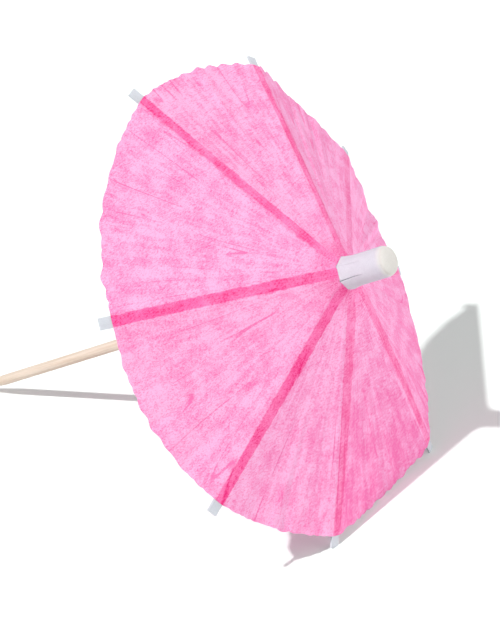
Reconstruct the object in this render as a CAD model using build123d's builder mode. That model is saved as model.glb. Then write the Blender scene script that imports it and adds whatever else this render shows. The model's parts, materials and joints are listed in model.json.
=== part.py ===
"""Cocktail umbrella pick, shown open: a paper canopy on card ribs, pushed up a wooden pick.

+Z runs up the pick to the hub. The origin is on the pick's axis, where its point meets the plain shank.
"""

import os
from math import radians, sin, cos, tan

from build123d import *

os.makedirs("parts", exist_ok=True)

# Wooden pick: a sharpened point, a plain shank and a slight swell up to the hub
pick_diameter = 2.3
pick_point_length = 10.0
pick_point_diameter = 0.4
pick_shank_length = 38.0
pick_top_diameter = 2.5
pick_length_in_hub = 9.3

# Card and paper stock
card_thickness = 0.4
paper_thickness = 0.1
glue_gap = 0.02
fold_clearance = 0.08

# Hub: a slit card tube round a rolled paper core, above the ribs' fold lines
rib_fold_height = 99.0
hub_base_diameter = 6.4
hub_top_diameter = 5.9
hub_flare_height = 3.0
hub_length = 9.9
hub_cap_height = 0.9
hub_cap_inset = 0.1
hub_slit_width = 0.2
hub_slit_height = 5.0

# Ribs: folded and glued by hand, so neither their spacing nor their slope is quite even
rib_azimuths = [-161.5, -120.5, -73.0, -18.5, 29.0, 67.5, 113.0, 163.0]
rib_polar_angles = [68.0, 71.0, 72.0, 69.5, 69.5, 71.5, 74.6, 67.4]
rib_length = 49.1
rib_width = 2.1
rib_shoulder_length = 3.0
rib_side_clearance = 0.1

# Struts: card arms between the runner and the undersides of the ribs, set so that all ribs shut alike
strut_width = 1.6
rib_shut_angle = 18.0

# Runner: a card tube with a flared lip round a rolled paper bush, and the ring that keeps it up
runner_drop = 16.8
runner_travel = 31.0
runner_length = 9.0
runner_diameter = 4.2
runner_lip_height = 0.6
running_clearance = 0.05
ring_diameter = 4.0
ring_height = 1.2

# Paper canopy: one band glued along each rib and two folding panels beside it
paper_hole_diameter = 9.2
rib_tip_overhang = 2.3
gore_sag = 1.2
gore_inset = 0.9
fold_slot_at_hub = 0.1
fold_slot_at_rim = 1.4
crease_clearance = 0.03

rib_count = len(rib_azimuths)
pick_radius = pick_diameter / 2
pick_top_radius = pick_top_diameter / 2
pick_top = rib_fold_height + pick_length_in_hub
rib_fold_radius = hub_base_diameter / 2 - card_thickness / 2
runner_lip_radius = rib_fold_radius - card_thickness / 2 - fold_clearance
strut_fold_height = rib_fold_height - runner_drop
strut_fold_depth = card_thickness + fold_clearance
hub_base = rib_fold_height + card_thickness / 2 + fold_clearance
hub_core_radius = min(hub_base_diameter, hub_top_diameter) / 2 - card_thickness - glue_gap
runner_top = strut_fold_height + runner_lip_height / 2
runner_core_radius = runner_diameter / 2 - card_thickness - glue_gap
ring_top = runner_top - runner_length - fold_clearance
paper_level = card_thickness / 2 + glue_gap + paper_thickness / 2
band_width = rib_width - paper_thickness - 2 * crease_clearance
paper_edge = rib_length - rib_tip_overhang
gore_edge = paper_edge - gore_inset


def outward(azimuth):
    """The level direction away from the pick at an azimuth."""
    return Vector(cos(radians(azimuth)), sin(radians(azimuth)), 0)


def slope_plane(azimuth, polar_angle):
    """The plane of a strip that leaves the hub's fold circle: X runs along it, Z faces outward."""
    away = outward(azimuth)
    along = away * sin(radians(polar_angle)) - Vector(0, 0, cos(radians(polar_angle)))
    normal = away * cos(radians(polar_angle)) + Vector(0, 0, sin(radians(polar_angle)))
    fold = away * rib_fold_radius + Vector(0, 0, rib_fold_height)
    return Plane(origin=fold, x_dir=along, z_dir=normal)


def neighbour(index, side):
    """The rib beside a rib: side is 1 for the next azimuth and -1 for the one before."""
    return (index + side) % rib_count


def half_spacing(index, side):
    """Half of the angle between a rib and its neighbour."""
    apart = side * (rib_azimuths[neighbour(index, side)] - rib_azimuths[index])
    return apart % 360 / 2


def pick_radius_at(height):
    """The swelling shank's radius at a height."""
    share = (height - pick_shank_length) / (pick_top - pick_shank_length)
    return pick_radius + (pick_top_radius - pick_radius) * share


def strut_points(index):
    """A strut's fold lines: under the rib, where one strut length suits open and shut, and at the lip."""
    plane = slope_plane(rib_azimuths[index], rib_polar_angles[index])
    lip_fold = outward(rib_azimuths[index]) * rib_fold_radius + Vector(0, 0, strut_fold_height)
    open_angle = radians(rib_polar_angles[index])
    shut_angle = radians(rib_shut_angle)
    shut_drop = runner_drop + runner_travel
    depth_share = strut_fold_depth * (shut_drop * sin(shut_angle) - runner_drop * sin(open_angle))
    reach = (shut_drop**2 - runner_drop**2) / 2 - depth_share
    reach = reach / (shut_drop * cos(shut_angle) - runner_drop * cos(open_angle))
    rib_fold = plane.origin + plane.x_dir * reach - plane.z_dir * strut_fold_depth
    return rib_fold, lip_fold


def panel_plane(index, side):
    """The plane of a paper panel: its X axis is the crease along the rib's edge, Z faces outward."""
    slope = slope_plane(rib_azimuths[index], rib_polar_angles[index])
    crease = slope.origin + slope.y_dir * (side * rib_width / 2) + slope.z_dir * paper_level
    to_middle = gore_middle(index, side, gore_edge) - crease
    across = to_middle - slope.x_dir * to_middle.dot(slope.x_dir)
    return Plane(origin=crease, x_dir=slope.x_dir, z_dir=slope.x_dir.cross(across) * side)


def gore_middle(index, side, distance):
    """A point on the fold halfway to the neighbouring rib, at a distance from the hub's fold circle."""
    azimuth = rib_azimuths[index] + side * half_spacing(index, side)
    polar_angle = (rib_polar_angles[index] + rib_polar_angles[neighbour(index, side)]) / 2 - gore_sag
    middle = slope_plane(azimuth, polar_angle)
    return middle.origin + middle.x_dir * distance + middle.z_dir * paper_level


def paper_start(polar_angle):
    """The distance from the hub's fold circle to the edge of the paper's middle hole."""
    return (paper_hole_diameter / 2 - rib_fold_radius) / sin(radians(polar_angle))


closest_half_spacing = min(half_spacing(index, 1) for index in range(rib_count))
rib_root_half_width = (
    (rib_fold_radius - card_thickness / 2) * tan(radians(closest_half_spacing)) - rib_side_clearance
)

# Pick
with BuildPart() as pick:
    with BuildSketch(Plane.XZ):
        with BuildLine():
            Polyline(
                (0, -pick_point_length),
                (pick_point_diameter / 2, -pick_point_length),
                (pick_radius, 0),
                (pick_radius, pick_shank_length),
                (pick_top_radius, pick_top),
                (0, pick_top),
                close=True,
            )
        make_face()
    revolve(axis=Axis.Z)
pick.part.label = "pick"
export_step(pick.part, "parts/pick.step")

# Hub tube: the slit end of the rolled card, flared where the ribs fold out of it
with BuildPart() as hub_tube:
    with BuildSketch(Plane.XZ):
        with BuildLine():
            Polyline(
                (hub_base_diameter / 2, hub_base),
                (hub_top_diameter / 2, hub_base + hub_flare_height),
                (hub_top_diameter / 2, hub_base + hub_length),
                (hub_top_diameter / 2 - card_thickness, hub_base + hub_length),
                (hub_top_diameter / 2 - card_thickness, hub_base + hub_flare_height),
                (hub_base_diameter / 2 - card_thickness, hub_base),
                close=True,
            )
        make_face()
    revolve(axis=Axis.Z)
    for index in range(rib_count):
        gap_azimuth = rib_azimuths[index] + half_spacing(index, 1)
        with Locations(Location((0, 0, hub_base), (0, 0, gap_azimuth))):
            Box(
                hub_base_diameter,
                hub_slit_width,
                hub_slit_height,
                align=(Align.MIN, Align.CENTER, Align.MIN),
                mode=Mode.SUBTRACT,
            )
hub_tube.part.label = "hub_tube"
export_step(hub_tube.part, "parts/hub_tube.step")

# Hub core: rolled paper glued on the pick's end, with a rounded cap pressed over the end of the tube
cap_seat = hub_base + hub_length + glue_gap
cap_edge_radius = hub_top_diameter / 2 - hub_cap_inset
cap_radius = (cap_edge_radius**2 + hub_cap_height**2) / (2 * hub_cap_height)
with BuildPart() as hub_core:
    with BuildSketch(Plane.XZ):
        with BuildLine():
            Polyline(
                (0, cap_seat + hub_cap_height),
                (0, pick_top + glue_gap),
                (pick_top_radius + glue_gap, pick_top + glue_gap),
                (pick_top_radius + glue_gap, hub_base),
                (hub_core_radius, hub_base),
                (hub_core_radius, cap_seat),
                (cap_edge_radius, cap_seat),
            )
            RadiusArc((0, cap_seat + hub_cap_height), (cap_edge_radius, cap_seat), cap_radius)
        make_face()
    revolve(axis=Axis.Z)
hub_core.part.label = "hub_core"
export_step(hub_core.part, "parts/hub_core.step")

# Runner tube: the second roll of card, with a lip where the struts fold out of it
with BuildPart() as runner_tube:
    with BuildSketch(Plane.XZ):
        with BuildLine():
            Polyline(
                (runner_diameter / 2 - card_thickness, runner_top),
                (runner_lip_radius, runner_top),
                (runner_lip_radius, runner_top - runner_lip_height),
                (runner_diameter / 2, runner_top - runner_lip_height),
                (runner_diameter / 2, runner_top - runner_length),
                (runner_diameter / 2 - card_thickness, runner_top - runner_length),
                close=True,
            )
        make_face()
    revolve(axis=Axis.Z)
runner_tube.part.label = "runner_tube"
export_step(runner_tube.part, "parts/runner_tube.step")

# Runner core: a rolled paper bush that slides on the pick
with BuildPart() as runner_core:
    with BuildSketch(Plane.XY.offset(runner_top - runner_length)):
        Circle(runner_core_radius)
        Circle(pick_radius_at(runner_top) + running_clearance, mode=Mode.SUBTRACT)
    extrude(amount=runner_length)
runner_core.part.label = "runner_core"
export_step(runner_core.part, "parts/runner_core.step")

# Stop ring: slides on the pick below the runner and holds the umbrella open
with BuildPart() as stop_ring:
    with BuildSketch(Plane.XY.offset(ring_top - ring_height)):
        Circle(ring_diameter / 2)
        Circle(pick_radius_at(ring_top) + running_clearance, mode=Mode.SUBTRACT)
    extrude(amount=ring_height)
    fillet(stop_ring.edges().filter_by(GeomType.CIRCLE).group_by(SortBy.RADIUS)[-1], ring_height / 4)
stop_ring.part.label = "stop_ring"
export_step(stop_ring.part, "parts/stop_ring.step")

for index in range(rib_count):
    number = index + 1
    slope = slope_plane(rib_azimuths[index], rib_polar_angles[index])

    # Rib: a card strip with a rounded fold at the hub and a square-cut tip
    with BuildPart() as rib:
        with BuildSketch(slope):
            with BuildLine():
                Polyline(
                    (0, rib_root_half_width),
                    (rib_shoulder_length, rib_width / 2),
                    (rib_length, rib_width / 2),
                    (rib_length, -rib_width / 2),
                    (rib_shoulder_length, -rib_width / 2),
                    (0, -rib_root_half_width),
                    close=True,
                )
            make_face()
        extrude(amount=card_thickness / 2, both=True)
        with BuildSketch(Plane(origin=slope.origin, x_dir=slope.x_dir, z_dir=slope.y_dir)):
            Circle(card_thickness / 2)
        extrude(amount=rib_root_half_width, both=True)
    rib.part.label = f"rib_{number}"
    export_step(rib.part, f"parts/rib_{number}.step")

    # Band: the paper that is glued down along the rib
    hole_edge = paper_start(rib_polar_angles[index])
    with BuildPart() as band:
        with BuildSketch(slope.offset(paper_level)):
            with Locations((hole_edge, 0)):
                Rectangle(paper_edge - hole_edge, band_width, align=(Align.MIN, Align.CENTER))
        extrude(amount=paper_thickness / 2, both=True)
    band.part.label = f"band_{number}"
    export_step(band.part, f"parts/band_{number}.step")

    # Strut: a card arm with a rounded fold at each end
    rib_fold, lip_fold = strut_points(index)
    arm = (lip_fold - rib_fold).normalized()
    with BuildPart() as strut:
        with BuildSketch(Plane(origin=(rib_fold + lip_fold) / 2, x_dir=arm, z_dir=slope.y_dir)):
            SlotCenterToCenter((lip_fold - rib_fold).length, card_thickness)
        extrude(amount=strut_width / 2, both=True)
    strut.part.label = f"strut_{number}"
    export_step(strut.part, f"parts/strut_{number}.step")

    # Panels: the paper from the rounded creases at the rib's edges to the folds halfway to its neighbours
    for side, side_name in ((1, "right"), (-1, "left")):
        sheet = panel_plane(index, side)
        rim_middle = sheet.to_local_coords(gore_middle(index, side, gore_edge))
        hub_middle = sheet.to_local_coords(gore_middle(index, side, hole_edge))
        crease_hub = Vector(hole_edge, 0)
        crease_rim = Vector(paper_edge, 0)
        fold_rim = Vector(rim_middle.X, rim_middle.Y - side * fold_slot_at_rim)
        fold_hub = Vector(hub_middle.X, hub_middle.Y - side * fold_slot_at_hub)
        apex = Vector(-rib_fold_radius, 0)
        bow = (crease_rim + fold_rim) / 2 - apex
        bow_length = ((crease_rim - apex).length + (fold_rim - apex).length) / 2
        with BuildPart() as panel:
            with BuildSketch(sheet):
                with BuildLine():
                    Polyline(fold_rim, fold_hub, crease_hub, crease_rim)
                    ThreePointArc(crease_rim, apex + bow.normalized() * bow_length, fold_rim)
                make_face()
            extrude(amount=paper_thickness / 2, both=True)
            crease_end = sheet.from_local_coords(crease_hub)
            with BuildSketch(Plane(origin=crease_end, x_dir=sheet.y_dir, z_dir=sheet.x_dir)):
                Circle(paper_thickness / 2)
            extrude(amount=paper_edge - hole_edge)
        panel.part.label = f"panel_{number}_{side_name}"
        export_step(panel.part, f"parts/panel_{number}_{side_name}.step")
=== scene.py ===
"""A pink paper cocktail umbrella on its wooden pick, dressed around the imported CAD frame."""

import json
from math import acos, asin, atan2, cos, hypot, pi, radians, sin

import bmesh
import bpy
from mathutils import Matrix, Vector

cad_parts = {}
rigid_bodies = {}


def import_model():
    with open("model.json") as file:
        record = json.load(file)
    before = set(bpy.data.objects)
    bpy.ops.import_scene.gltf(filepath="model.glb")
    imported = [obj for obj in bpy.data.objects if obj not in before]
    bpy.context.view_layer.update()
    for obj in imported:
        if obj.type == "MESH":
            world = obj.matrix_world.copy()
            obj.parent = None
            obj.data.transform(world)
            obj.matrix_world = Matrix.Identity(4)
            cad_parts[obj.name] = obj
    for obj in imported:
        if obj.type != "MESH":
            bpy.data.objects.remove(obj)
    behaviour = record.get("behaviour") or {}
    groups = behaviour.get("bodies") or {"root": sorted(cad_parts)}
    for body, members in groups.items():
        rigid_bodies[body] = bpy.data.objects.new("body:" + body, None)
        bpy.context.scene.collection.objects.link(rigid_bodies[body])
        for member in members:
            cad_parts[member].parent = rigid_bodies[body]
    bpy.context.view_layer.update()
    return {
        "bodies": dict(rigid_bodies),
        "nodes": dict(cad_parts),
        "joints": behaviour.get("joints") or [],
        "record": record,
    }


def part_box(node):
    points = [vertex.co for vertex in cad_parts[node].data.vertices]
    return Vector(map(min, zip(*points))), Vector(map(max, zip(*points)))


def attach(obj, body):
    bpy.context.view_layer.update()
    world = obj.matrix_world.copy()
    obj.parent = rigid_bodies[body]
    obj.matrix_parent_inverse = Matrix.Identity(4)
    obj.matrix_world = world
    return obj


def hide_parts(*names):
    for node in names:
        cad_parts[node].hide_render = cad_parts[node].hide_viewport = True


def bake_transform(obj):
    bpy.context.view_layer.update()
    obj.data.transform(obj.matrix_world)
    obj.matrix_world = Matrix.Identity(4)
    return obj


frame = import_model()
joints = {joint["name"]: joint for joint in frame["joints"]}
mm = 0.001


# Wooden pick
# A round birch stick, turned smooth and sharpened at its lower end. It goes up through the runner
# and is glued into the hub, so it carries every other piece.
turned_edge_angle = radians(40)


def new_piece(name, mesh, material):
    """An object at the origin that shows a mesh in one material."""
    mesh.materials.clear()
    mesh.materials.append(material)
    piece = bpy.data.objects.new(name, mesh)
    bpy.context.scene.collection.objects.link(piece)
    return piece


def turned_mesh(name, outline, facets, closed=False):
    """A solid of revolution about the pick. The outline is (radius, height) pairs, bottom to top outside."""
    shape = bmesh.new()
    rings = []
    for radius, height in outline:
        angles = [2 * pi * facet / facets for facet in range(facets)]
        rings.append([shape.verts.new((radius * cos(a), radius * sin(a), height)) for a in angles])
    pairs = list(zip(rings, rings[1:]))
    if closed:
        pairs.append((rings[-1], rings[0]))
    else:
        shape.faces.new(reversed(rings[0]))
        shape.faces.new(rings[-1])
    for low, high in pairs:
        for facet in range(facets):
            after = (facet + 1) % facets
            shape.faces.new((low[facet], low[after], high[after], high[facet]))
    mesh = bpy.data.meshes.new(name)
    shape.to_mesh(mesh)
    shape.free()
    mesh.shade_smooth()
    mesh.set_sharp_from_angle(angle=turned_edge_angle)
    return mesh


def place(tree, kind, inputs=None, **settings):
    """A node in a tree. Inputs are values or other nodes' sockets, by socket name or number."""
    node = tree.nodes.new(kind)
    for name, value in settings.items():
        setattr(node, name, value)
    for key, value in (inputs or {}).items():
        if isinstance(value, bpy.types.NodeSocket):
            tree.links.new(value, node.inputs[key])
        else:
            node.inputs[key].default_value = value
    return node


def calc(tree, operation, *values):
    """The result of a Math node."""
    return place(tree, "ShaderNodeMath", dict(enumerate(values)), operation=operation).outputs[0]


def eased(tree, value, low, high, to_low=0.0, to_high=1.0):
    """A value eased from one range into another, and held at its ends."""
    inputs = {"Value": value, "From Min": low, "From Max": high, "To Min": to_low, "To Max": to_high}
    return place(tree, "ShaderNodeMapRange", inputs, interpolation_type="SMOOTHSTEP").outputs["Result"]


def cloudy(tree, vector, feature, detail=2.0):
    """A noise value whose features have about the given size in metres."""
    inputs = {"Vector": vector, "Scale": 1 / feature, "Detail": detail}
    return place(tree, "ShaderNodeTexNoise", inputs).outputs[0]


def tint(tree, share, first, second):
    """A colour between two others."""
    return place(tree, "ShaderNodeMix", {0: share, 6: first, 7: second}, data_type="RGBA").outputs[2]


def new_finish(name):
    """A material, its node tree and its shader."""
    material = bpy.data.materials.new(name)
    material.use_nodes = True
    return material, material.node_tree, material.node_tree.nodes["Principled BSDF"]


def own_place(tree, stretch=(1, 1, 1)):
    """The piece's own coordinates, stretched."""
    here = place(tree, "ShaderNodeTexCoord").outputs["Object"]
    return place(tree, "ShaderNodeMapping", {"Vector": here, "Scale": stretch}).outputs["Vector"]


def raise_surface(tree, shader, height, depth, strength):
    """Lets a height from 0 to 1 stand out of the surface by a depth in metres."""
    inputs = {"Height": height, "Distance": depth, "Strength": strength}
    tree.links.new(place(tree, "ShaderNodeBump", inputs).outputs[0], shader.inputs["Normal"])


wood_dark = (0.69, 0.55, 0.44, 1)
wood_light = (0.79, 0.67, 0.565, 1)
wood_roughness = (0.75, 0.55)
wood_gloss = 0.25
grain_stretch = (1, 1, 0.03)
grain_size = 0.5 * mm
grain_depth = 0.04 * mm
pore_size = 0.12 * mm
pore_darkening = 0.35
birch, tree, shader = new_finish("birch")
streak = cloudy(tree, own_place(tree, grain_stretch), grain_size, 3)
pore = eased(tree, cloudy(tree, own_place(tree, grain_stretch), pore_size, 1), 0.6, 0.75)
darkened = calc(tree, "MULTIPLY", pore, pore_darkening)
pale = calc(tree, "SUBTRACT", eased(tree, streak, 0.3, 0.65), darkened)
tree.links.new(tint(tree, pale, wood_dark, wood_light), shader.inputs["Base Color"])
tree.links.new(eased(tree, streak, 0.3, 0.7, *wood_roughness), shader.inputs["Roughness"])
shader.inputs["Specular IOR Level"].default_value = wood_gloss
raise_surface(tree, shader, pale, grain_depth, 0.4)

pick_low, pick_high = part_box("pick")
shank = frame["record"]["mounts"][0]["dims"]
shank_radius = shank["r_mm"] * mm
shank_length = shank["length_mm"] * mm
blunt_radius = 0.10 * shank_radius
blunt_height = 0.02 * shank_radius
point_radius = 0.24 * shank_radius
point_height = 0.3 * shank_radius
taper_radius = 0.96 * shank_radius
taper_round = 0.4 * shank_radius
pick_facets = 48
pick_outline = [
    (blunt_radius, pick_low.z),
    (2 * blunt_radius, pick_low.z + blunt_height),
    (point_radius, pick_low.z + point_height),
    (taper_radius, -taper_round),
    (shank_radius, taper_round),
    (shank_radius, shank_length),
    (pick_high.x, pick_high.z),
]
pick = new_piece("wooden_pick", turned_mesh("wooden_pick", pick_outline, pick_facets), birch)
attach(pick, "frame")
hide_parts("pick")

# Stop ring
# A small ring of pale moulded plastic, pushed up the pick under the runner, where it keeps the
# umbrella open by friction. The CAD ring has the right shape and is shown as it is.
ring_pale = (0.84, 0.83, 0.80, 1)
ring_worn = (0.74, 0.73, 0.70, 1)
ring_roughness = (0.6, 0.4)
scuff_size = 0.3 * mm
scuff_depth = 0.02 * mm
ring_plastic, tree, shader = new_finish("moulded_ring_plastic")
scuff = cloudy(tree, own_place(tree), scuff_size, 4)
ring_colour = tint(tree, eased(tree, scuff, 0.35, 0.7), ring_worn, ring_pale)
tree.links.new(ring_colour, shader.inputs["Base Color"])
tree.links.new(eased(tree, scuff, 0.3, 0.7, *ring_roughness), shader.inputs["Roughness"])
raise_surface(tree, shader, scuff, scuff_depth, 0.3)
frame["nodes"]["stop_ring"].material_slots[0].material = ring_plastic


# Runner core
# A strip of cream paper wound tightly into a bush that slides on the pick. It is glued inside the
# runner tube, and its wound layers show at both ends.
def summed(tree, base, *weighted):
    """A base value plus masks, each times its own weight."""
    for mask, weight in weighted:
        base = calc(tree, "MULTIPLY_ADD", mask, weight, base)
    return base


paper_fibre = bpy.data.node_groups.new("paper_fibre", "ShaderNodeTree")
for name, kind in (("Vector", "Vector"), ("Fibre Size", "Float"), ("Cloud Size", "Float")):
    paper_fibre.interface.new_socket(name=name, in_out="INPUT", socket_type="NodeSocket" + kind)
for name in ("Fibre", "Wisp", "Fleck", "Cloud", "Height"):
    paper_fibre.interface.new_socket(name=name, in_out="OUTPUT", socket_type="NodeSocketFloat")
given = place(paper_fibre, "NodeGroupInput").outputs
fibre_scale = calc(paper_fibre, "DIVIDE", 1.0, given["Fibre Size"])
cloud_scale = calc(paper_fibre, "DIVIDE", 1.0, given["Cloud Size"])
fibre_stretch = (0.13, 1.0, 1.0)
fibre_tilt = (0.2, 0.3)
fibre_turns = (20, 75, 130, 165)
dark_fibre_range = (0.61, 0.71)
light_wisp_range = (0.29, 0.39)
fleck_coarseness = 0.55
fibre_mask = 0.0
wisp_mask = 0.0
for degrees in fibre_turns:
    laid_out = place(
        paper_fibre,
        "ShaderNodeMapping",
        {"Vector": given["Vector"], "Rotation": (*fibre_tilt, radians(degrees)), "Scale": fibre_stretch},
    )
    thread = place(
        paper_fibre,
        "ShaderNodeTexNoise",
        {"Vector": laid_out.outputs[0], "Scale": fibre_scale, "Detail": 1.0, "Distortion": 0.4},
    ).outputs[0]
    dark_here = eased(paper_fibre, thread, *dark_fibre_range)
    light_here = eased(paper_fibre, thread, *light_wisp_range, 1.0, 0.0)
    fibre_mask = calc(paper_fibre, "MAXIMUM", fibre_mask, dark_here)
    wisp_mask = calc(paper_fibre, "MAXIMUM", wisp_mask, light_here)
fleck_scale = calc(paper_fibre, "MULTIPLY", fibre_scale, fleck_coarseness)
fleck_inputs = {"Vector": given["Vector"], "Scale": fleck_scale, "Detail": 1.0, "Roughness": 0.6}
fleck_noise = place(paper_fibre, "ShaderNodeTexNoise", fleck_inputs)
fleck_mask = eased(paper_fibre, fleck_noise.outputs[0], 0.3, 0.7)
cloud_inputs = {"Vector": given["Vector"], "Scale": cloud_scale, "Detail": 4.0, "Roughness": 0.6}
cloud_noise = place(paper_fibre, "ShaderNodeTexNoise", cloud_inputs)
cloud_mask = eased(paper_fibre, cloud_noise.outputs[0], 0.32, 0.68)
fibre_results = {
    "Fibre": fibre_mask,
    "Wisp": wisp_mask,
    "Fleck": fleck_mask,
    "Cloud": cloud_mask,
    "Height": summed(paper_fibre, 0.0, (fleck_mask, 0.3), (fibre_mask, 0.4), (cloud_mask, 0.3)),
}
place(paper_fibre, "NodeGroupOutput", fibre_results)


def fibres(tree, fibre_size, cloud_size):
    """The masks of one paper stock, by name: dark fibres, light wisps, flecks, clouds and height."""
    inputs = {"Vector": own_place(tree), "Fibre Size": fibre_size, "Cloud Size": cloud_size}
    return place(tree, "ShaderNodeGroup", inputs, node_tree=paper_fibre).outputs


cream_dark = (0.67, 0.635, 0.60, 1)
cream_light = (0.765, 0.735, 0.70, 1)
cream_roughness = (0.9, 0.75)
cream_fibre_size = 0.15 * mm
cream_cloud_size = 1.5 * mm
layer_pitch = 0.12 * mm
layer_depth = 0.03 * mm
cream_paper, tree, shader = new_finish("wound_cream_paper")
paper = fibres(tree, cream_fibre_size, cream_cloud_size)
across_axis = place(tree, "ShaderNodeSeparateXYZ", {0: own_place(tree)}).outputs
turn = calc(tree, "DIVIDE", calc(tree, "ARCTAN2", across_axis["Y"], across_axis["X"]), 2 * pi)
y_squared = calc(tree, "MULTIPLY", across_axis["Y"], across_axis["Y"])
distance_squared = calc(tree, "MULTIPLY_ADD", across_axis["X"], across_axis["X"], y_squared)
axis_distance = calc(tree, "SQRT", distance_squared)
layer = calc(tree, "FRACT", calc(tree, "ADD", calc(tree, "DIVIDE", axis_distance, layer_pitch), turn))
seam = eased(tree, calc(tree, "ABSOLUTE", calc(tree, "SUBTRACT", layer, 0.5)), 0.28, 0.5)
paleness = summed(tree, 0.5, (paper["Fleck"], 0.2), (paper["Cloud"], 0.3), (seam, -0.2))
tree.links.new(tint(tree, paleness, cream_dark, cream_light), shader.inputs["Base Color"])
tree.links.new(eased(tree, paper["Fibre"], 0, 1, *cream_roughness), shader.inputs["Roughness"])
raise_surface(tree, shader, summed(tree, paper["Height"], (seam, -0.5)), layer_depth, 0.35)

core_low, core_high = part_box("runner_core")
bore_radius = min(v.co.xy.length for v in frame["nodes"]["runner_core"].data.vertices)
core_rim = 0.12 * mm
runner_facets = 64
core_outline = [
    (bore_radius, core_low.z + core_rim),
    (bore_radius + core_rim, core_low.z),
    (core_high.x - core_rim, core_low.z),
    (core_high.x, core_low.z + core_rim),
    (core_high.x, core_high.z - core_rim),
    (core_high.x - core_rim, core_high.z),
    (bore_radius + core_rim, core_high.z),
    (bore_radius, core_high.z - core_rim),
]
core_mesh = turned_mesh("runner_core_roll", core_outline, runner_facets, closed=True)
runner_core = new_piece("runner_core_roll", core_mesh, cream_paper)
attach(runner_core, "runner")
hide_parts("runner_core")

# Runner tube
# White card rolled once round the runner core and glued. Its top end is turned out into a thin lip,
# and the struts fold out of that lip.
card_shade = (0.58, 0.595, 0.65, 1)
card_white = (0.67, 0.69, 0.745, 1)
card_roughness = (0.85, 0.6)
card_fibre_size = 0.15 * mm
card_cloud_size = 2.0 * mm
card_relief = 0.04 * mm


def card_finish(name):
    """A material of white card, its node tree, its shader and its colour."""
    material, tree, shader = new_finish(name)
    paper = fibres(tree, card_fibre_size, card_cloud_size)
    paleness = summed(tree, 0.3, (paper["Fleck"], 0.3), (paper["Cloud"], 0.4))
    colour = tint(tree, paleness, card_shade, card_white)
    tree.links.new(colour, shader.inputs["Base Color"])
    tree.links.new(eased(tree, paper["Fibre"], 0, 1, *card_roughness), shader.inputs["Roughness"])
    raise_surface(tree, shader, paper["Height"], card_relief, 0.35)
    return material, tree, shader, colour


white_card = card_finish("white_card")[0]
end_zone = 0.1 * mm


def radii_at(node, height):
    """How far a CAD node's points at one of its ends lie from the pick's axis."""
    points = [vertex.co for vertex in frame["nodes"][node].data.vertices]
    return [point.xy.length for point in points if abs(point.z - height) < end_zone]


tube_low, tube_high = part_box("runner_tube")
tube_radius = max(radii_at("runner_tube", tube_low.z))
lip_reach = tube_high.x - tube_radius
lip_drop = 0.6 * mm
lip_bend_start = 2.2 * lip_drop
lip_bend_share = 0.3
lip_under = 0.7 * lip_drop
lip_edge = 0.5 * lip_drop
tube_gap = 0.01 * mm
tube_bore = core_high.x + tube_gap
card_round = 0.08 * mm
tube_outline = [
    (tube_bore, tube_low.z + card_round),
    (tube_bore + card_round, tube_low.z),
    (tube_radius - card_round, tube_low.z),
    (tube_radius, tube_low.z + card_round),
    (tube_radius, tube_high.z - lip_bend_start),
    (tube_radius + lip_bend_share * lip_reach, tube_high.z - lip_drop),
    (tube_high.x - card_round, tube_high.z - lip_under),
    (tube_high.x, tube_high.z - lip_edge),
    (tube_high.x - card_round, tube_high.z - card_round),
    (tube_radius, tube_high.z),
    (tube_bore + card_round, tube_high.z),
    (tube_bore, tube_high.z - card_round),
]
tube_mesh = turned_mesh("runner_tube_card", tube_outline, runner_facets, closed=True)
runner_tube = new_piece("runner_tube_card", tube_mesh, white_card)
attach(runner_tube, "runner")
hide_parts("runner_tube")


# Struts
# Eight narrow arms cut from the same white card. Each folds out of the runner's lip at its lower end
# and is glued by a fold under its rib at the upper end, so it pushes the rib up with the runner.
cut_edge_angle = radians(50)
sheet_weld = 0.0001 * mm


def new_tree(name, inputs):
    """A geometry tree with named inputs, as (name, kind) pairs, and the sockets that they give."""
    tree = bpy.data.node_groups.new(name, "GeometryNodeTree")
    for socket_name, kind in inputs:
        tree.interface.new_socket(name=socket_name, in_out="INPUT", socket_type="NodeSocket" + kind)
    tree.interface.new_socket(name="Geometry", in_out="OUTPUT", socket_type="NodeSocketGeometry")
    return tree, place(tree, "NodeGroupInput").outputs


def moved(tree, operation, *values):
    """The result of a Vector Math node."""
    node = place(tree, "ShaderNodeVectorMath", dict(enumerate(values)), operation=operation)
    return node.outputs["Value" if operation == "DOT_PRODUCT" else "Vector"]


def scaled(tree, vector, factor):
    """A vector times a number."""
    return place(tree, "ShaderNodeVectorMath", {0: vector, "Scale": factor}, operation="SCALE").outputs[0]


def between(tree, share, first, second):
    """A point between two others."""
    return place(tree, "ShaderNodeMix", {0: share, 4: first, 5: second}, data_type="VECTOR").outputs[1]


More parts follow.
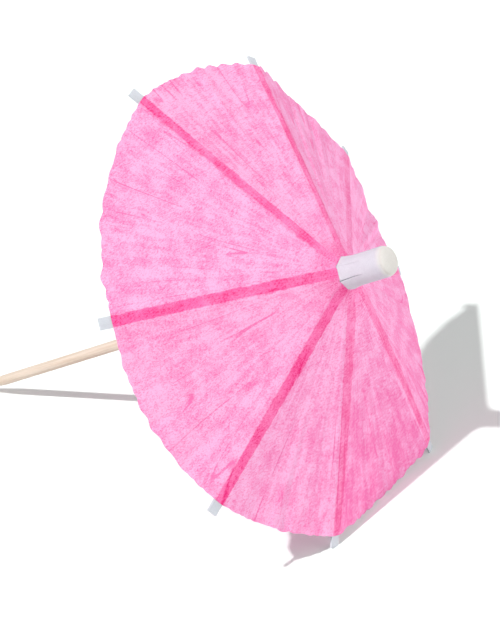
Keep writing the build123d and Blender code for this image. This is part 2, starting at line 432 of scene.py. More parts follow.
def finish_sheet(tree, sheet, thickness, material):
    """Gives a flat mesh its thickness about its middle, with smooth faces and sharp cut edges."""
    normal = place(tree, "GeometryNodeInputNormal").outputs[0]
    half_down = scaled(tree, normal, calc(tree, "MULTIPLY", thickness, -0.5))
    lower = place(tree, "GeometryNodeSetPosition", {"Geometry": sheet, "Offset": half_down}).outputs[0]
    raised = place(
        tree, "GeometryNodeExtrudeMesh", {"Mesh": lower, "Offset Scale": thickness, "Individual": False}
    )
    under = place(tree, "GeometryNodeFlipFaces", {"Mesh": lower}).outputs[0]
    whole = place(tree, "GeometryNodeJoinGeometry", {"Geometry": under})
    tree.links.new(raised.outputs["Mesh"], whole.inputs["Geometry"])
    welding = {"Geometry": whole.outputs[0], "Distance": sheet_weld}
    closed = place(tree, "GeometryNodeMergeByDistance", welding)
    smooth = place(
        tree, "GeometryNodeSetShadeSmooth", {0: closed.outputs[0], "Shade Smooth": True}, domain="FACE"
    )
    bend = place(tree, "GeometryNodeInputMeshEdgeAngle").outputs["Unsigned Angle"]
    cut_edge = calc(tree, "GREATER_THAN", bend, cut_edge_angle)
    crisp = place(
        tree,
        "GeometryNodeSetShadeSmooth",
        {0: smooth.outputs[0], "Selection": cut_edge, "Shade Smooth": False},
        domain="EDGE",
    )
    single = place(tree, "GeometryNodeRealizeInstances", {0: crisp.outputs[0]}).outputs[0]
    dressed = place(tree, "GeometryNodeSetMaterial", {"Geometry": single, "Material": material}).outputs[0]
    place(tree, "NodeGroupOutput", {"Geometry": dressed})


def settle(piece):
    """Turns a piece with modifiers into a plain mesh."""
    made = piece.evaluated_get(bpy.context.evaluated_depsgraph_get())
    piece.data = bpy.data.meshes.new_from_object(made)
    piece.modifiers.clear()


def shaped(name, tree, **sizes):
    """A plain mesh object that a geometry tree makes from its named inputs."""
    piece = bpy.data.objects.new(name, bpy.data.meshes.new(name))
    modifier = piece.modifiers.new(tree.name, "NODES")
    modifier.node_group = tree
    for socket in tree.interface.items_tree:
        key = socket.name.lower().replace(" ", "_")
        if socket.in_out == "INPUT" and key in sizes:
            modifier[socket.identifier] = sizes[key]
    bpy.context.scene.collection.objects.link(piece)
    settle(piece)
    return piece


def grid_spot(tree):
    """Where a point lies on a grid of unit size, with 0 in its middle, as X and Y."""
    here = place(tree, "GeometryNodeInputPosition").outputs[0]
    return place(tree, "ShaderNodeSeparateXYZ", {0: here}).outputs


def number_between(tree, share, first, second):
    """A number between two others."""
    return place(tree, "ShaderNodeMix", {0: share, 2: first, 3: second}).outputs[0]


def strayed(tree, noise, size):
    """A noise value about 0, times a size."""
    return calc(tree, "MULTIPLY", calc(tree, "SUBTRACT", noise.outputs[0], 0.5), size)


def collar_rise(tree, distance, given):
    """The rise of a sheet towards the hub, which it meets where the distance is 0."""
    share = eased(tree, calc(tree, "DIVIDE", distance, given["Collar Width"]), 0.0, 1.0, 1.0, 0.0)
    rise = calc(tree, "MULTIPLY", share, given["Collar"])
    return place(tree, "ShaderNodeCombineXYZ", {2: rise}).outputs[0]


def extent(node, origin, direction):
    """How far a CAD node's points reach along a direction, lowest and highest."""
    reach = [(vertex.co - origin).dot(direction) for vertex in frame["nodes"][node].data.vertices]
    return min(reach), max(reach)


strip_inputs = (
    ("Start", "Vector"), ("Along", "Vector"), ("Face", "Vector"), ("Length", "Float"), ("Width", "Float"),
    ("Root Width", "Float"), ("Shoulder", "Float"), ("Thickness", "Float"), ("Bow", "Float"),
    ("Collar", "Float"), ("Collar Width", "Float"), ("Wander", "Float"), ("Stripe Shift", "Float"),
    ("Stripe Spread", "Float"), ("Glue", "Float"), ("Seed", "Float"), ("Material", "Material"),
)
card_strip, given = new_tree("card_strip", strip_inputs)
strip_grid = {"Size X": 1.0, "Size Y": 1.0, "Vertices X": 60, "Vertices Y": 7}
strays_along = 24.0
strays_across = 9.0
strip = place(card_strip, "GeometryNodeMeshGrid", strip_grid)
spot = grid_spot(card_strip)
share_along = calc(card_strip, "ADD", spot["X"], 0.5)
distance = calc(card_strip, "MULTIPLY", share_along, given["Length"])
shoulder = calc(card_strip, "DIVIDE", distance, given["Shoulder"])
width = number_between(card_strip, shoulder, given["Root Width"], given["Width"])
ragged_spot = summed(card_strip, given["Seed"], (spot["Y"], strays_across), (share_along, strays_along))
ragged_inputs = {"W": ragged_spot, "Scale": 1.0, "Detail": 2.0}
ragged = place(card_strip, "ShaderNodeTexNoise", ragged_inputs, noise_dimensions="1D")
stray = strayed(card_strip, ragged, given["Wander"])
aside = calc(card_strip, "MULTIPLY", spot["Y"], calc(card_strip, "ADD", width, stray))
bow_share = calc(card_strip, "MULTIPLY", share_along, calc(card_strip, "SUBTRACT", 1.0, share_along))
lift = calc(card_strip, "MULTIPLY", calc(card_strip, "MULTIPLY", bow_share, 4.0), given["Bow"])
side = moved(card_strip, "CROSS_PRODUCT", given["Face"], given["Along"])
on_line = moved(card_strip, "ADD", given["Start"], scaled(card_strip, given["Along"], distance))
on_strip = moved(card_strip, "ADD", on_line, scaled(card_strip, side, aside))
on_strip = moved(card_strip, "ADD", on_strip, scaled(card_strip, given["Face"], lift))
on_strip = moved(card_strip, "ADD", on_strip, collar_rise(card_strip, distance, given))


def stripe_edge(tree, aside, out_share, given):
    """How far a spot beside a rib's middle is from the edge of its stripe of glue, less than 0 on it."""
    bend = calc(tree, "SUBTRACT", 1.0, calc(tree, "POWER", out_share, 3.0))
    middle = calc(tree, "MULTIPLY", bend, given["Stripe Shift"])
    off_middle = calc(tree, "ABSOLUTE", calc(tree, "SUBTRACT", aside, middle))
    off_edge = calc(tree, "MULTIPLY_ADD", given["Width"], -0.5, off_middle)
    return calc(tree, "SUBTRACT", off_edge, calc(tree, "MULTIPLY", bend, given["Stripe Spread"]))


def marked(tree, mesh, name, value):
    """A mesh with a value stored under a name at each of its points."""
    inputs = {"Geometry": mesh, "Name": name, "Value": value}
    settings = {"data_type": "FLOAT", "domain": "POINT"}
    return place(tree, "GeometryNodeStoreNamedAttribute", inputs, **settings).outputs[0]


on_middle = calc(card_strip, "MULTIPLY", spot["Y"], given["Width"])
glue_edge = stripe_edge(card_strip, on_middle, share_along, given)
strip_mesh = marked(card_strip, strip.outputs["Mesh"], "across", glue_edge)
strip_mesh = marked(card_strip, strip_mesh, "glue", given["Glue"])
laid = place(card_strip, "GeometryNodeSetPosition", {"Geometry": strip_mesh, "Position": on_strip})
finish_sheet(card_strip, laid.outputs[0], given["Thickness"], given["Material"])

rib_numbers = [int(name.split("_")[1]) for name in frame["bodies"] if name.startswith("rib_")]
strut_bow = 0.12 * mm
cut_wander = 0.12 * mm
fold_play = 0.25 * mm
strut_seed_step = 7.3
for number in rib_numbers:
    fold = joints[f"strut_{number}_fold"]
    upper_fold = Vector(fold["pos_m"])
    lateral = Vector(fold["axis"])
    low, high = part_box(f"strut_{number}")
    arm = ((low + high) / 2 - upper_fold).normalized()
    arm_face = arm.cross(lateral)
    arm_start, arm_end = extent(f"strut_{number}", upper_fold, arm)
    arm_start += fold_play
    card_low, card_high = extent(f"strut_{number}", upper_fold, arm_face)
    side_low, side_high = extent(f"strut_{number}", upper_fold, lateral)
    strut = shaped(
        f"card_strut_{number}",
        card_strip,
        start=upper_fold + arm * arm_start,
        along=arm,
        face=arm_face,
        length=arm_end - arm_start,
        width=side_high - side_low,
        root_width=side_high - side_low,
        shoulder=mm,
        thickness=card_high - card_low,
        bow=strut_bow,
        collar=0.0,
        collar_width=mm,
        wander=cut_wander,
        seed=strut_seed_step * number,
        material=white_card,
    )
    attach(strut, f"strut_{number}")
    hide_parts(f"strut_{number}")


# Ribs
# Eight strips of white card that fold out of the slit hub tube and run out under the paper. They are
# glued to the paper, and their bare, square-cut tips stick out past its edge.
class RibLine:
    """Where a rib lies at rest, from its own fold and the creases of the paper beside it."""

    def __init__(self, number):
        fold = joints[f"rib_{number}_fold"]
        self.number = number
        self.root = Vector(fold["pos_m"])
        self.lateral = Vector(fold["axis"])
        self.closing = radians(max(fold["range_deg"], key=abs))
        self.along = Vector(joints[f"panel_{number}_right_fold"]["axis"])
        self.face = self.along.cross(self.lateral)
        self.fold_radius = self.root.xy.length
        self.crease_apart = (self.crease("right") - self.crease("left")).length
        self.rib_end = extent(f"rib_{number}", self.root, self.along)[1]
        self.paper_edge = extent(f"band_{number}", self.root, self.along)[1]

    def crease(self, side):
        """A point of the crease beside the rib, level with its root."""
        return Vector(joints[f"panel_{self.number}_{side}_fold"]["pos_m"])

    def fold_end(self, side):
        """How far the paper beside the rib turns about its crease when the umbrella is shut."""
        return radians(max(joints[f"panel_{self.number}_{side}_fold"]["range_deg"], key=abs))


rib_lines = [RibLine(number) for number in rib_numbers]
rib_shoulder = 3.0 * mm
rib_root_share = 0.92
rib_seed_step = 3.1
for line in rib_lines:
    node = f"rib_{line.number}"
    card_low, card_high = extent(node, line.root, line.face)
    rib = shaped(
        f"card_rib_{line.number}",
        card_strip,
        start=line.root,
        along=line.along,
        face=line.face,
        length=line.rib_end,
        width=line.crease_apart,
        root_width=rib_root_share * line.crease_apart,
        shoulder=rib_shoulder,
        thickness=card_high - card_low,
        bow=0.0,
        collar=0.0,
        collar_width=mm,
        wander=cut_wander,
        seed=rib_seed_step * line.number,
        material=white_card,
    )
    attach(rib, node)
    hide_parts(node)

# Hub core
# Cream paper wound round the top of the pick and glued. Its end is pressed into a low dome that
# closes the hub tube.
dome_low, dome_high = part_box("hub_core")
hub_low, hub_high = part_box("hub_tube")
core_foot = radii_at("hub_core", dome_low.z)
core_bore, core_radius = min(core_foot), max(core_foot)
hub_radius = max(radii_at("hub_tube", hub_high.z))
hub_end_round = 0.22 * mm
dome_radius = hub_radius - hub_end_round
dome_seat = hub_high.z
dome_height = dome_high.z - dome_seat
dome_rings = 18
dome_squareness = 0.75
dome_tip_radius = 0.02 * dome_radius
dome_facets = 72
dome_outline = [(core_bore, dome_low.z), (core_radius, dome_low.z), (core_radius, dome_seat)]
for ring in range(dome_rings):
    lean = (pi / 2) * ring / dome_rings
    dome_outline.append((dome_radius * cos(lean) ** dome_squareness, dome_seat + dome_height * sin(lean)))
dome_outline.append((dome_tip_radius, dome_high.z))
hub_core = new_piece("hub_core_roll", turned_mesh("hub_core_roll", dome_outline, dome_facets), cream_paper)
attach(hub_core, "frame")
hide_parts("hub_core")

# Hub tube
# White card rolled round the core and glued, slit from below into eight tabs. The tabs flare out,
# flattened by hand, and each folds outward at its foot into a rib.
soak_fade = 0.78 * mm
soak_patch = 0.8 * mm
soak_wander = 0.8 * mm
hub_card, tree, shader, colour = card_finish("hub_card")
level = place(tree, "ShaderNodeSeparateXYZ", {0: own_place(tree)}).outputs["Z"]
uneven = summed(tree, level, (cloudy(tree, own_place(tree), soak_patch), soak_wander))
soaked = eased(tree, uneven, hub_high.z - soak_fade, hub_high.z + soak_fade)
tree.links.new(tint(tree, soaked, colour, cream_light), shader.inputs["Base Color"])

hub_height = hub_high.z - hub_low.z
hub_foot_radius = hub_high.x
hub_wall = 0.4 * mm
hub_edge_round = 0.06 * mm
hub_end_height = 3 * hub_end_round
hub_flare = 3.0 * mm
slit_height = 5.0 * mm
slit_half_width = 0.03 * mm
open_slit_half_width = 0.1 * mm
open_slit = 4
tab_columns = 12
hub_rows = 60
foot_flatness = 0.8
tab_weld = 0.002 * mm
rib_azimuths = [atan2(line.root.y, line.root.x) for line in rib_lines]
gap_azimuths = []
for number, azimuth in enumerate(rib_azimuths):
    onward = (rib_azimuths[(number + 1) % len(rib_azimuths)] - azimuth) % (2 * pi)
    gap_azimuths.append(azimuth + onward / 2)

shape = bmesh.new()
for number in range(len(rib_azimuths)):
    first_gap = gap_azimuths[number - 1]
    tab_turn = (gap_azimuths[number] - first_gap) % (2 * pi)
    grid = []
    for row in range(hub_rows + 1):
        rise = hub_height * row / hub_rows
        flare = max(0.0, 1 - rise / hub_flare)
        near_end = max(0.0, 1 - (hub_height - rise) / hub_end_height)
        radius = hub_radius + (hub_foot_radius - hub_radius) * flare - hub_end_round * near_end**2
        slit_taper = max(0.0, 1 - rise / slit_height) ** 0.5 / radius
        first_slit = slit_taper * (open_slit_half_width if number == open_slit else slit_half_width)
        last_slit = slit_taper * (open_slit_half_width if number + 1 == open_slit else slit_half_width)
        columns = []
        for column in range(tab_columns + 1):
            turn = first_slit + (tab_turn - first_slit - last_slit) * column / tab_columns
            off_middle = turn - tab_turn / 2
            flat_radius = radius / cos(off_middle)
            tab_radius = radius + (flat_radius - radius) * foot_flatness * flare
            azimuth = first_gap + turn
            corner = (tab_radius * cos(azimuth), tab_radius * sin(azimuth), hub_low.z + rise)
            columns.append(shape.verts.new(corner))
        grid.append(columns)
    for lower, upper in zip(grid, grid[1:]):
        for column in range(tab_columns):
            shape.faces.new((lower[column], lower[column + 1], upper[column + 1], upper[column]))
bmesh.ops.remove_doubles(shape, verts=shape.verts, dist=tab_weld)
bmesh.ops.recalc_face_normals(shape, faces=shape.faces)
hub_mesh = bpy.data.meshes.new("hub_tube_card")
shape.to_mesh(hub_mesh)
shape.free()
hub_mesh.shade_smooth()
hub_tube = new_piece("hub_tube_card", hub_mesh, hub_card)
wall = hub_tube.modifiers.new("wall", "SOLIDIFY")
wall.thickness = hub_wall
wall.offset = -1
rounding = hub_tube.modifiers.new("rounding", "BEVEL")
rounding.width = hub_edge_round
rounding.segments = 2
rounding.limit_method = "ANGLE"
rounding.angle_limit = cut_edge_angle
settle(hub_tube)
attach(hub_tube, "frame")
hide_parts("hub_tube")

# Paper canopy
# One round sheet of pink tissue, glued along the ribs, where the wet glue has darkened it, and creased
# beside them. It is cut by hand, so its edge waves, and it folds halfway between the ribs.
# Painted shade darkens the paper along its fine creases.
tissue_light = (1.0, 0.49, 0.77, 1)
tissue_dark = (0.93, 0.18, 0.455, 1)
glued_light = (1.0, 0.18, 0.47, 1)
glued_dark = (0.87, 0.02, 0.20, 1)
tissue_roughness = (0.95, 0.8)
tissue_gloss = 0.15
tissue_fibre_size = 0.19 * mm
tissue_cloud_size = 4.0 * mm
tissue_relief = 0.05 * mm
crease_spread = 9.0
crease_width = 0.016
crease_patch = 9 * mm
streak_spread = 36.0
change_along_ray = 3.0
glue_edge_patch = 1.2 * mm
glue_edge_wander = 0.5 * mm
glue_edge_fade = (-0.2 * mm, 0.12 * mm)
glue_patch = 5 * mm
least_glue = 0.78
hub_glue_start = 3.5 * mm
hub_glue_end = 10 * mm
stripe_full = 7.0 * mm
pink_tissue, tree, shader = new_finish("pink_tissue")
paper = fibres(tree, tissue_fibre_size, tissue_cloud_size)
here = place(tree, "ShaderNodeTexCoord").outputs["Object"]
parts = place(tree, "ShaderNodeSeparateXYZ", {0: here}).outputs
level_only = place(tree, "ShaderNodeCombineXYZ", {0: parts["X"], 1: parts["Y"], 2: 0.0}).outputs[0]
radius = place(tree, "ShaderNodeVectorMath", {0: level_only}, operation="LENGTH").outputs["Value"]
heading = place(tree, "ShaderNodeVectorMath", {0: level_only}, operation="NORMALIZE").outputs["Vector"]
ray = place(tree, "ShaderNodeSeparateXYZ", {0: heading}).outputs
ray_drift = calc(tree, "MULTIPLY", radius, change_along_ray)
along_ray = place(tree, "ShaderNodeCombineXYZ", {0: ray["X"], 1: ray["Y"], 2: ray_drift}).outputs[0]
# Fine radial creases. They are raised in the relief, and their lines also darken the colour as painted shade
# in the folds.
crease_inputs = {"Vector": along_ray, "Scale": crease_spread, "Detail": 0.6}
crease_noise = place(tree, "ShaderNodeTexNoise", crease_inputs)
crease_line = calc(tree, "ABSOLUTE", calc(tree, "SUBTRACT", crease_noise.outputs[0], 0.5))
crease_fade = eased(tree, cloudy(tree, here, crease_patch, 1), 0.4, 0.65)
crease = calc(tree, "MULTIPLY", eased(tree, crease_line, 0.0, crease_width, 1.0, 0.0), crease_fade)
streak_inputs = {"Vector": along_ray, "Scale": streak_spread, "Detail": 2.0}
streak_noise = place(tree, "ShaderNodeTexNoise", streak_inputs)
streaks = eased(tree, streak_noise.outputs[0], 0.35, 0.65)
across = place(tree, "ShaderNodeAttribute", attribute_name="across").outputs["Fac"]
glue_noise = cloudy(tree, here, glue_edge_patch, 3)
glue_wander = summed(tree, -glue_edge_wander / 2, (glue_noise, glue_edge_wander))
glue = place(tree, "ShaderNodeAttribute", attribute_name="glue").outputs["Fac"]
glue_edge = calc(tree, "ADD", across, glue_wander)
glued = calc(tree, "MULTIPLY", eased(tree, glue_edge, *glue_edge_fade, 1.0, 0.0), glue)
glue_strength = eased(tree, cloudy(tree, here, glue_patch, 2), 0.35, 0.65, least_glue, 1.0)
hub_fade = calc(tree, "MULTIPLY", glue_strength, eased(tree, radius, hub_glue_start, stripe_full, 0.9, 1.0))
near_hub = eased(tree, radius, hub_glue_start, hub_glue_end, 0.5, 0.0)
glued = calc(tree, "MAXIMUM", calc(tree, "MULTIPLY", glued, hub_fade), near_hub)
# Painted shade: stretches of paper turned away from the far lamp and close to the floor darken towards their
# rim.
painted_rim_shade = place(tree, "ShaderNodeAttribute", attribute_name="painted_rim_shade").outputs["Fac"]
# The crease lines darken the mottle as painted shade.
mottle = summed(
    tree,
    0.125,
    (paper["Cloud"], 0.45),
    (paper["Fleck"], 0.38),
    (streaks, 0.27),
    (paper["Wisp"], 0.3),
    (paper["Fibre"], -0.5),
    (crease, -0.75),
    (painted_rim_shade, -1.0),
)
plain = tint(tree, mottle, tissue_dark, tissue_light)
wetted = tint(tree, mottle, glued_dark, glued_light)
tree.links.new(tint(tree, glued, plain, wetted), shader.inputs["Base Color"])
tree.links.new(eased(tree, paper["Fleck"], 0, 1, *tissue_roughness), shader.inputs["Roughness"])
shader.inputs["Specular IOR Level"].default_value = tissue_gloss
raise_surface(tree, shader, summed(tree, paper["Height"], (crease, -0.8)), tissue_relief, 0.3)

# The Depth input is painted shade: how far a stretch of paper darkens towards its rim.
gore_inputs = (
    ("Near Start", "Vector"), ("Near Along", "Vector"), ("Far Start", "Vector"), ("Far Along", "Vector"),
    ("Inner", "Float"), ("Outer", "Float"), ("From", "Float"), ("To", "Float"), ("Sag", "Float"),
    ("Inset", "Float"), ("Ripple", "Float"), ("Edge Wave", "Float"), ("Collar", "Float"),
    ("Collar Width", "Float"), ("Gather", "Float"), ("Rib Start", "Vector"), ("Rib Along", "Vector"),
    ("Rib Side", "Float"), ("Width", "Float"), ("Stripe Shift", "Float"), ("Stripe Spread", "Float"),
    ("Glue", "Float"), ("Crispness", "Float"), ("Depth", "Float"), ("Thickness", "Float"), ("Seed", "Float"),
    ("Material", "Material"),
)
gore_tree, given = new_tree("paper_gore", gore_inputs)
gore_grid = {"Size X": 1.0, "Size Y": 1.0, "Vertices X": 48, "Vertices Y": 90}
edge_waves_over = 9.0
edge_wave_middle = 0.12
rib_margin = 0.05
ripples_over = 7.0
ripples_out = 25.0
flat = place(gore_tree, "GeometryNodeMeshGrid", gore_grid)
spot = grid_spot(gore_tree)
share_out = calc(gore_tree, "ADD", spot["X"], 0.5)
half_share = calc(gore_tree, "ADD", spot["Y"], 0.5)
share_over = number_between(gore_tree, half_share, given["From"], given["To"])
middle_share = calc(gore_tree, "MULTIPLY", share_over, calc(gore_tree, "SUBTRACT", 1.0, share_over))
bulge = calc(gore_tree, "MULTIPLY", middle_share, 4.0)
wave_spot = summed(gore_tree, given["Seed"], (share_over, edge_waves_over))
wave_inputs = {"W": wave_spot, "Scale": 1.0, "Detail": 0.35}
wave = place(gore_tree, "ShaderNodeTexNoise", wave_inputs, noise_dimensions="1D")
scallop = calc(gore_tree, "ABSOLUTE", calc(gore_tree, "SUBTRACT", wave.outputs[0], 0.5))
wave_share = calc(gore_tree, "SUBTRACT", scallop, edge_wave_middle)
wave_height = calc(gore_tree, "MULTIPLY", wave_share, given["Edge Wave"])
wave_height = calc(gore_tree, "MULTIPLY", wave_height, eased(gore_tree, middle_share, 0.0, rib_margin))
rim = calc(gore_tree, "ADD", given["Outer"], wave_height)
rim = calc(gore_tree, "SUBTRACT", rim, calc(gore_tree, "MULTIPLY", bulge, given["Inset"]))
gathered = calc(gore_tree, "MULTIPLY", bulge, given["Gather"])
hole_edge = calc(gore_tree, "SUBTRACT", given["Inner"], gathered)
reach = number_between(gore_tree, share_out, hole_edge, rim)
line_start = between(gore_tree, share_over, given["Near Start"], given["Far Start"])
line_lean = between(gore_tree, share_over, given["Near Along"], given["Far Along"])
line_along = moved(gore_tree, "NORMALIZE", line_lean)
on_facet = moved(gore_tree, "ADD", line_start, scaled(gore_tree, line_along, reach))
facet_upright = moved(gore_tree, "CROSS_PRODUCT", given["Near Along"], given["Far Along"])
facet_normal = moved(gore_tree, "NORMALIZE", facet_upright)
ripple_axes = {
    0: calc(gore_tree, "MULTIPLY", share_over, ripples_over),
    1: calc(gore_tree, "MULTIPLY", reach, ripples_out),
    2: given["Seed"],
}
ripple_spot = place(gore_tree, "ShaderNodeCombineXYZ", ripple_axes).outputs[0]
ripple_noise = place(gore_tree, "ShaderNodeTexNoise", {"Vector": ripple_spot, "Scale": 1.0, "Detail": 1.0})
out_share = calc(gore_tree, "DIVIDE", reach, given["Outer"])
ripple = calc(gore_tree, "MULTIPLY", strayed(gore_tree, ripple_noise, given["Ripple"]), out_share)
slack = calc(gore_tree, "MULTIPLY", bulge, out_share)
drop = calc(gore_tree, "MULTIPLY", calc(gore_tree, "SUBTRACT", ripple, given["Sag"]), slack)
on_gore = moved(gore_tree, "ADD", on_facet, scaled(gore_tree, facet_normal, drop))
from_hub = calc(gore_tree, "SUBTRACT", reach, hole_edge)
on_gore = moved(gore_tree, "ADD", on_gore, collar_rise(gore_tree, from_hub, given))


def line_distance(tree, point, start, along):
    """How far a point is from a straight line."""
    span = moved(tree, "SUBTRACT", point, start)
    apart = moved(tree, "CROSS_PRODUCT", span, along)
    return place(tree, "ShaderNodeVectorMath", {0: apart}, operation="LENGTH").outputs["Value"]


rib_distance = line_distance(gore_tree, on_facet, given["Rib Start"], given["Rib Along"])
rib_distance = calc(gore_tree, "MULTIPLY_ADD", given["Width"], 0.5, rib_distance)
aside = calc(gore_tree, "MULTIPLY", rib_distance, given["Rib Side"])
glue_edge = calc(gore_tree, "MULTIPLY", stripe_edge(gore_tree, aside, out_share, given), given["Crispness"])
gore_mesh = marked(gore_tree, flat.outputs["Mesh"], "across", glue_edge)
gore_mesh = marked(gore_tree, gore_mesh, "glue", given["Glue"])
# Painted shade, growing towards the rim.
gore_mesh = marked(gore_tree, gore_mesh, "painted_rim_shade", calc(gore_tree, "MULTIPLY", share_out, given["Depth"]))
laid = place(gore_tree, "GeometryNodeSetPosition", {"Geometry": gore_mesh, "Position": on_gore})
finish_sheet(gore_tree, laid.outputs[0], given["Thickness"], given["Material"])

paper_thickness = 0.1 * mm
paper_start = 0.02 * mm
paper_collar = 0.6 * mm
paper_collar_width = 2.6 * mm
paper_gather = 0.05 * mm

# Each stretch of paper has the number of the rib that it starts from, and each stripe that of its rib.
usual_sag = 0.5 * mm
own_sags = {7: -0.9 * mm}
usual_inset = 0.9 * mm
own_insets = {2: 1.3 * mm, 4: 0.6 * mm, 5: 1.0 * mm, 6: 2.1 * mm}
usual_ripple = 1.5 * mm
own_ripples = {1: 2.2 * mm, 7: 2.4 * mm, 8: 2.4 * mm}
usual_edge_wave = 2.6 * mm
own_edge_waves = {
    1: 3.6 * mm, 2: 1.6 * mm, 3: 2.2 * mm, 4: 1.2 * mm, 5: 1.0 * mm, 7: 4.0 * mm, 8: 4.5 * mm,
}
# Painted shade: how much two stretches of paper darken towards their rim.
painted_rim_shades = {6: 0.4, 7: 0.18}
stripe_shifts = {2: -1.1 * mm, 3: 0.35 * mm, 4: -0.4 * mm, 5: 0.4 * mm, 6: 1.4 * mm, 7: 2.0 * mm}
stripe_spreads = {2: 0.3 * mm, 3: 0.2 * mm, 5: 0.15 * mm, 6: 0.6 * mm, 7: 0.65 * mm}
glue_shares = {1: 0.4, 2: 0.75, 3: 0.9, 4: 1.0, 5: 1.0, 6: 0.65, 7: 0.65, 8: 0.45}
soft_glue_edges = {
    (1, "right"): 0.4, (2, "left"): 0.3, (3, "right"): 0.25, (5, "left"): 0.4, (7, "left"): 0.4,
}
gore_seed_step = 5.7


def shut_turn(line, side, point, plane_normal):
    """The turn about a rib's crease that puts a point on the upright plane between two shut ribs."""
    crease = line.crease(side)
    closing = Matrix.Rotation(line.closing, 3, line.lateral)
    span = point - crease
    level = line.along * span.dot(line.along)
    square = span - level
    steady = plane_normal.dot(line.root + closing @ (crease + level - line.root))
    with_cosine = plane_normal.dot(closing @ square)
    with_sine = plane_normal.dot(closing @ line.along.cross(square))
    middle = atan2(with_sine, with_cosine)
    apart = acos(max(-1.0, min(1.0, -steady / hypot(with_cosine, with_sine))))
    return min((middle - apart, middle + apart), key=lambda turn: abs(turn - line.fold_end(side)))


for line in rib_lines:
    paper_level = (line.crease("right") - line.root).dot(line.face)
    band = shaped(
        f"paper_band_{line.number}",
        card_strip,
        start=line.root + line.along * paper_start + line.face * paper_level,
        along=line.along,
        face=line.face,
        length=line.paper_edge - paper_start,
        width=line.crease_apart,
        root_width=line.crease_apart,
        shoulder=mm,
        thickness=paper_thickness,
        bow=0.0,
        collar=paper_collar,
        collar_width=paper_collar_width,
        wander=0.0,
        stripe_shift=stripe_shifts.get(line.number, 0.0),
        stripe_spread=stripe_spreads.get(line.number, 0.0),
        glue=glue_shares[line.number],
        seed=0.0,
        material=pink_tissue,
    )
    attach(band, f"rib_{line.number}")
    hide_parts(f"band_{line.number}")

# The round sheet reaches equally far along every rib, so one of them gives its edge.
paper_edge = rib_lines[-1].paper_edge
for index, near in enumerate(rib_lines):
    far = rib_lines[(index + 1) % len(rib_lines)]
    fold_radius = near.fold_radius
    near_start = near.crease("right") - near.along * fold_radius
    far_start = far.crease("left") - far.along * fold_radius
    outer = fold_radius + paper_edge
    inner = fold_radius + paper_start
    facing = near.along.cross(far.along).normalized()
    middle_along = (near.along + far.along).normalized()
    gore_sag = own_sags.get(near.number, usual_sag)
    gore_inset = own_insets.get(near.number, usual_inset)
    edge_wave = own_edge_waves.get(near.number, usual_edge_wave)
    rim_middle = (near_start + far_start) / 2 + middle_along * (outer - gore_inset) - facing * gore_sag
    plane_normal = Vector((0, 0, 1)).cross(Vector((middle_along.x, middle_along.y, 0)).normalized())
    half_angle = near.along.angle(far.along) / 2
    for line, side, first, last in ((near, "right", 0.0, 0.5), (far, "left", 0.5, 1.0)):
        panel = f"panel_{line.number}_{side}"
        gore = shaped(
            f"paper_gore_{line.number}_{side}",
            gore_tree,
            near_start=near_start,
            near_along=near.along,
            far_start=far_start,
            far_along=far.along,
            inner=inner,
            outer=outer,
            to=last,
            sag=gore_sag,
            inset=gore_inset,
            ripple=own_ripples.get(near.number, usual_ripple),
            collar=paper_collar,
            collar_width=paper_collar_width,
            edge_wave=edge_wave,
            gather=paper_gather,
            rib_start=line.crease(side),
            rib_along=line.along,
            rib_side=1.0 if side == "right" else -1.0,
            width=line.crease_apart,
            stripe_shift=stripe_shifts.get(line.number, 0.0),
            stripe_spread=stripe_spreads.get(line.number, 0.0),
            glue=glue_shares[line.number],
            crispness=soft_glue_edges.get((line.number, side), 1.0),
            depth=painted_rim_shades.get(near.number, 0.0),
            thickness=paper_thickness,
            seed=gore_seed_step * near.number,
            material=pink_tissue,
            **{"from": first},
        )
        turn = shut_turn(line, side, rim_middle, plane_normal)
        turn_share = max(0.0, min(1.0, turn / line.fold_end(side)))
        sheet_middle = (line.crease(side) + line.along * paper_edge + rim_middle) / 2
        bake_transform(gore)
        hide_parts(panel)

# Floor
# A plain pale table top. The umbrella lies on it on the pick's point and two rib tips, so the floor
# leans in the pick's upright frame. From behind it is clear, so that it never hides the umbrella.
floor_size = 1.4
floor_colour = (0.93, 0.98, 0.955, 1)
floor_roughness = 0.9
floor_glow = 0.1
resting_numbers = (6, 7)
resting_ribs = [line for line in rib_lines if line.number in resting_numbers]
rests = [Vector((0, 0, pick_low.z))]
for line in resting_ribs:
    card_low = extent(f"rib_{line.number}", line.root, line.face)[0]
    rests.append(line.root + line.along * line.rib_end + line.face * card_low)
floor_normal = (rests[1] - rests[0]).cross(rests[2] - rests[0]).normalized()
if floor_normal.z < 0:
    floor_normal.negate()
floor_across = floor_normal.orthogonal().normalized()
floor_up = floor_normal.cross(floor_across)
floor_mesh = bpy.data.meshes.new("floor")
floor_corners = [
    rests[0] + floor_across * (x * floor_size) + floor_up * (y * floor_size)
    for x, y in ((-1, -1), (1, -1), (1, 1), (-1, 1))
]
floor_mesh.from_pydata(floor_corners, [], [(0, 1, 2, 3)])
floor_finish, tree, shader = new_finish("pale_floor")
shader.inputs["Base Color"].default_value = floor_colour
shader.inputs["Roughness"].default_value = floor_roughness
seen = place(tree, "ShaderNodeLightPath").outputs["Is Camera Ray"]
glow = place(tree, "ShaderNodeEmission", {"Strength": calc(tree, "MULTIPLY", seen, floor_glow)})
lit = place(tree, "ShaderNodeAddShader", {0: shader.outputs[0], 1: glow.outputs[0]})
behind = place(tree, "ShaderNodeNewGeometry").outputs["Backfacing"]
clear = place(tree, "ShaderNodeBsdfTransparent")
one_sided = place(tree, "ShaderNodeMixShader", {0: behind, 1: lit.outputs[0], 2: clear.outputs[0]})
tree.links.new(one_sided.outputs[0], tree.nodes["Material Output"].inputs["Surface"])
floor = new_piece("floor", floor_mesh, floor_finish)

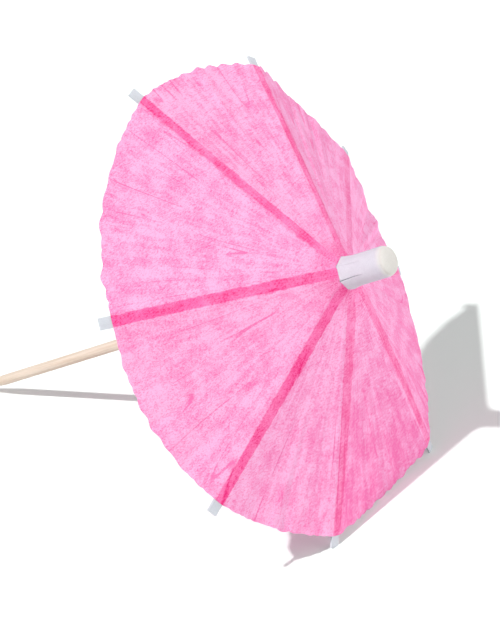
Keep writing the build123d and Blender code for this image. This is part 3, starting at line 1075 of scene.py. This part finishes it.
# Studio light
# A far lamp at the upper left throws the shadow across the floor. A wide soft light above the hub
# evens out the paper on the far side, and a white room fills the shade.
white = (1, 1, 1, 1)
room_strength = 0.28
backdrop_strength = 1.0
world = bpy.data.worlds.new("studio")
bpy.context.scene.world = world
world.use_nodes = True
tree = world.node_tree
room = tree.nodes["Background"]
room.inputs["Color"].default_value = white
room.inputs["Strength"].default_value = room_strength
backdrop = place(tree, "ShaderNodeBackground", {"Color": white, "Strength": backdrop_strength})
rays = place(tree, "ShaderNodeLightPath").outputs
mirrored = calc(tree, "MAXIMUM", rays["Is Glossy Ray"], rays["Is Transmission Ray"])
plainly_seen = calc(tree, "MAXIMUM", rays["Is Camera Ray"], mirrored)
sky = place(tree, "ShaderNodeMixShader", {0: plainly_seen, 1: room.outputs[0], 2: backdrop.outputs[0]})
tree.links.new(sky.outputs[0], tree.nodes["World Output"].inputs["Surface"])


def add_lamp(name, energy, travel, width):
    """A far lamp that shines along a direction, as wide in the sky as an angle."""
    data = bpy.data.lights.new(name, "SUN")
    data.energy = energy
    data.angle = width
    lamp = bpy.data.objects.new(name, data)
    lamp.rotation_mode = "QUATERNION"
    lamp.rotation_quaternion = Vector(travel).to_track_quat("-Z", "Y")
    bpy.context.scene.collection.objects.link(lamp)


add_lamp("far_lamp", energy=2.6, travel=(-0.590, 0.794, -0.145), width=radians(1.5))
add_lamp("fill_panel", energy=2.45, travel=(0.5, -0.3, -0.8), width=radians(80))

# Camera
# A long lens above the table, turned so that the pick comes in from the left edge of the picture.
camera_lens = 85.0
camera_nearest = 0.01
camera_place = (0.2217, -0.05367, 0.25636)
camera_aim = (-0.7590, 0.1897, -0.6229)
camera_top = (-0.4088, -0.8834, 0.2291)
camera_data = bpy.data.cameras.new("camera")
camera_data.lens = camera_lens
camera_data.clip_start = camera_nearest
camera = bpy.data.objects.new("camera", camera_data)
bpy.context.scene.collection.objects.link(camera)
forward = Vector(camera_aim).normalized()
right = forward.cross(Vector(camera_top)).normalized()
upward = right.cross(forward)
turned = Matrix((right, upward, -forward)).transposed().to_4x4()
camera.matrix_world = Matrix.Translation(camera_place) @ turned
bpy.context.scene.camera = camera
bpy.context.scene.view_settings.view_transform = "Standard"
